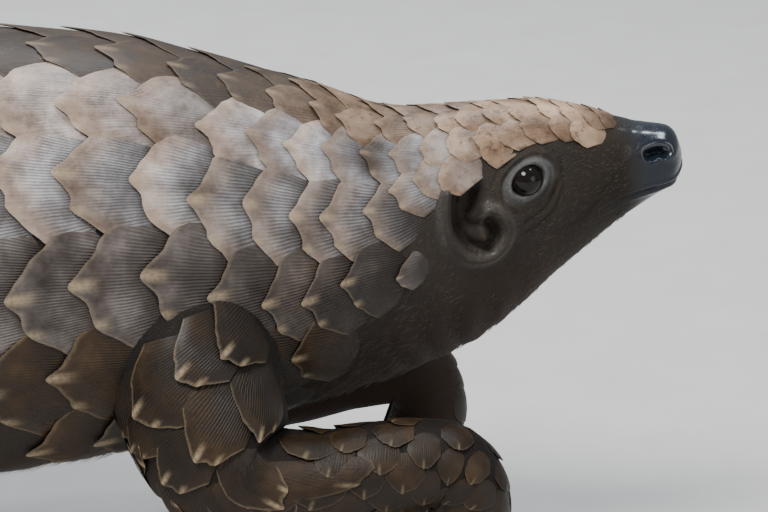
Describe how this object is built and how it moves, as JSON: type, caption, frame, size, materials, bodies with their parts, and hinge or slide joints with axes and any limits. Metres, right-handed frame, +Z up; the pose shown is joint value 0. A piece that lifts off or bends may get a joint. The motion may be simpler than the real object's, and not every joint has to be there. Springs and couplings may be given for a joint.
{
  "type": "ground pangolin",
  "caption": "Life-size still young ground pangolin in a walking pose, with large overlapping scales on head, back, sides and limbs, and a broad scaled tail laid along the floor",
  "frame": {"origin": "on the floor, under the middle of the animal's box", "axes": "+X towards the head, +Y to the animal's left, +Z up"},
  "size_m": [0.701, 0.2254, 0.174],
  "materials": {
    "scale": "horny scales, satin, finely ridged, worn pale at the tips",
    "skin": "bare dark grey-brown skin with sparse short hair, matte, moist at the nose",
    "claw": "horn, satin, ridged along its length",
    "eye": "black, wet gloss"
  },
  "bodies": {
    "root": {"head": "skin", "neck": "scale", "torso": "scale", "tail_1": "scale", "tail_2": "scale", "tail_3": "scale", "tail_4": "scale", "foreleg_L": "scale", "foreleg_R": "scale", "hindleg_L": "scale", "hindleg_R": "scale", "forefoot_L": "skin", "forefoot_R": "skin", "hindfoot_L": "skin", "hindfoot_R": "skin", "ear_L": "skin", "ear_R": "skin", "eye_L": "eye", "eye_R": "eye", "foreclaw_L1": "claw", "foreclaw_L2": "claw", "foreclaw_L3": "claw", "foreclaw_L4": "claw", "foreclaw_L5": "claw", "foreclaw_R1": "claw", "foreclaw_R2": "claw", "foreclaw_R3": "claw", "foreclaw_R4": "claw", "foreclaw_R5": "claw", "hindclaw_L1": "claw", "hindclaw_L2": "claw", "hindclaw_L3": "claw", "hindclaw_L4": "claw", "hindclaw_L5": "claw", "hindclaw_R1": "claw", "hindclaw_R2": "claw", "hindclaw_R3": "claw", "hindclaw_R4": "claw", "hindclaw_R5": "claw"}
  },
  "joints": []
}
